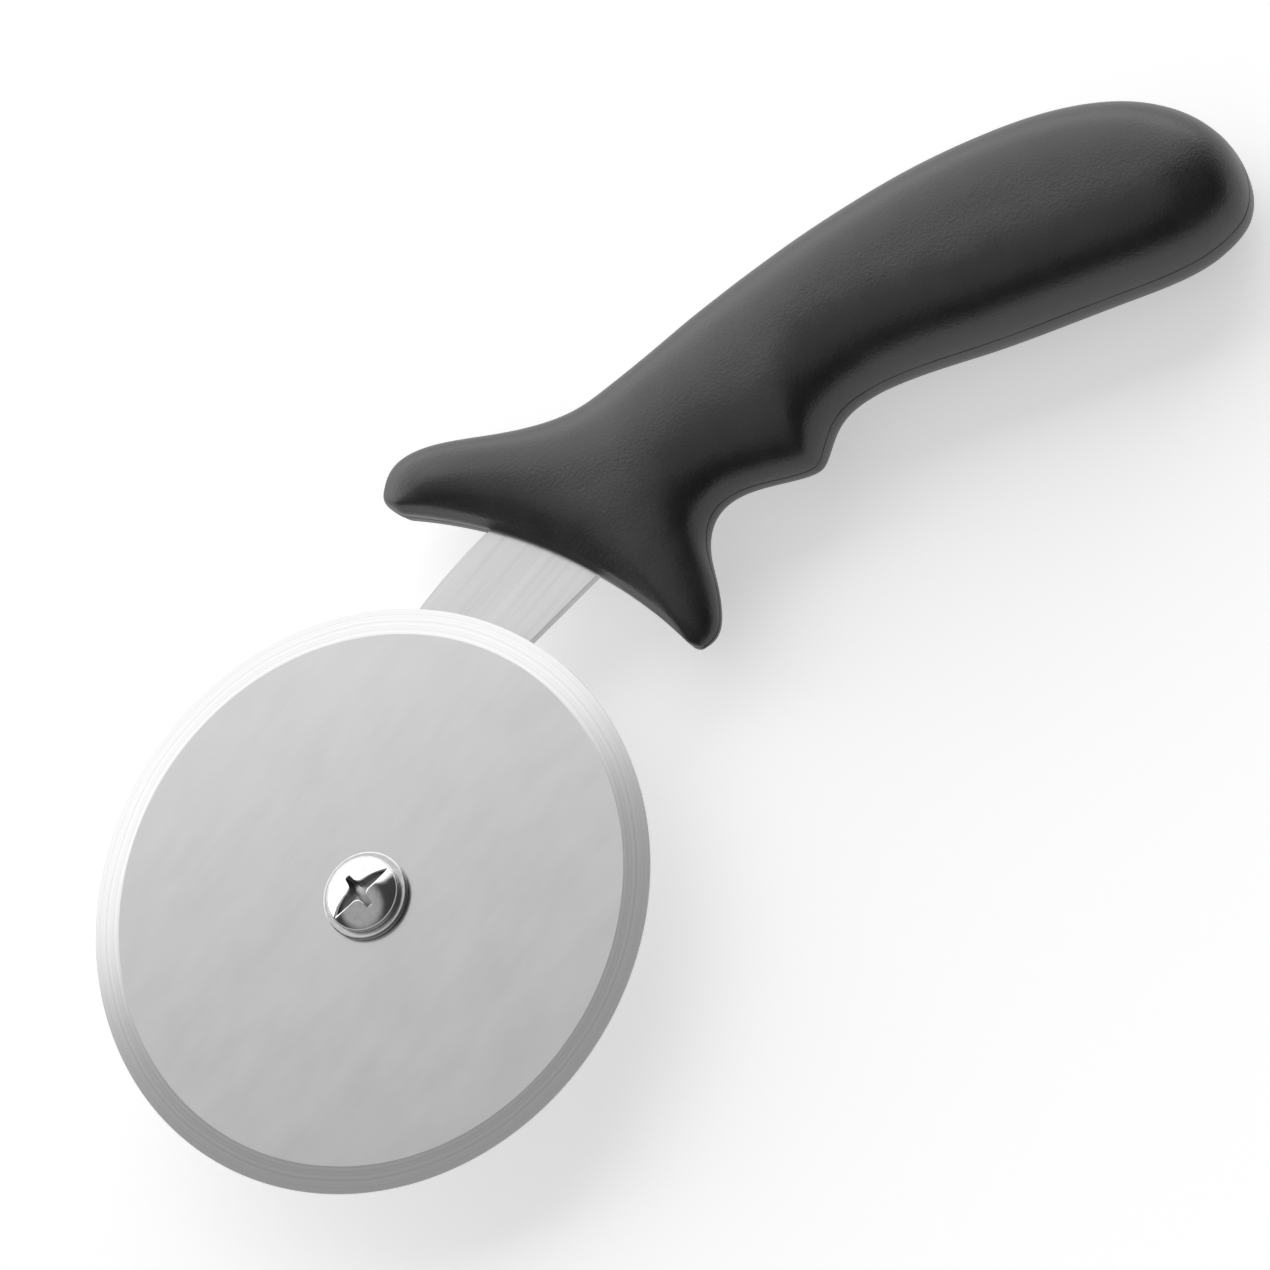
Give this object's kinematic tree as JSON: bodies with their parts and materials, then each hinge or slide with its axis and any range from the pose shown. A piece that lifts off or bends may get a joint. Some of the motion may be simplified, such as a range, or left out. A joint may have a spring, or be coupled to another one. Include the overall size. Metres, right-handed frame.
{
  "type": "pizza cutter wheel",
  "caption": "Hand-held pizza cutter: a bevelled steel cutting wheel spins on a screw at the end of a flat curved arm, held in a moulded black grip with a horned finger guard.",
  "frame": {"origin": "middle of the bounding box on the plane that the tool lies on", "axes": "+Z along the wheel's axle towards the screw head, +X along the grip towards its butt, +Y towards the upper horn of the finger guard"},
  "size_m": [0.2314, 0.1326, 0.0264],
  "materials": {
    "wheel_steel": "fine brushed faces with a ground bevel",
    "polished_steel": "bright plated",
    "sleeve_brass": "turned",
    "zinc_steel": "zinc plated",
    "arm_steel": "satin, stamped edges",
    "black_plastic": "fine moulded texture"
  },
  "bodies": {
    "handle": {"handle_front_shell": "black_plastic", "handle_rear_shell": "black_plastic", "wheel_arm": "arm_steel", "axle_screw": "polished_steel", "head_washer": "polished_steel", "wheel_sleeve": "sleeve_brass", "spacer_washer": "zinc_steel", "lock_washer": "zinc_steel", "hex_nut": "zinc_steel"},
    "wheel": {"cutting_wheel": "wheel_steel"}
  },
  "joints": [
    {"name": "wheel_spin", "type": "hinge", "parent": "handle", "child": "wheel", "pos_m": [-0.0649, -0.01549, 0.0161], "axis": [0, 0, 1], "continuous": true}
  ]
}
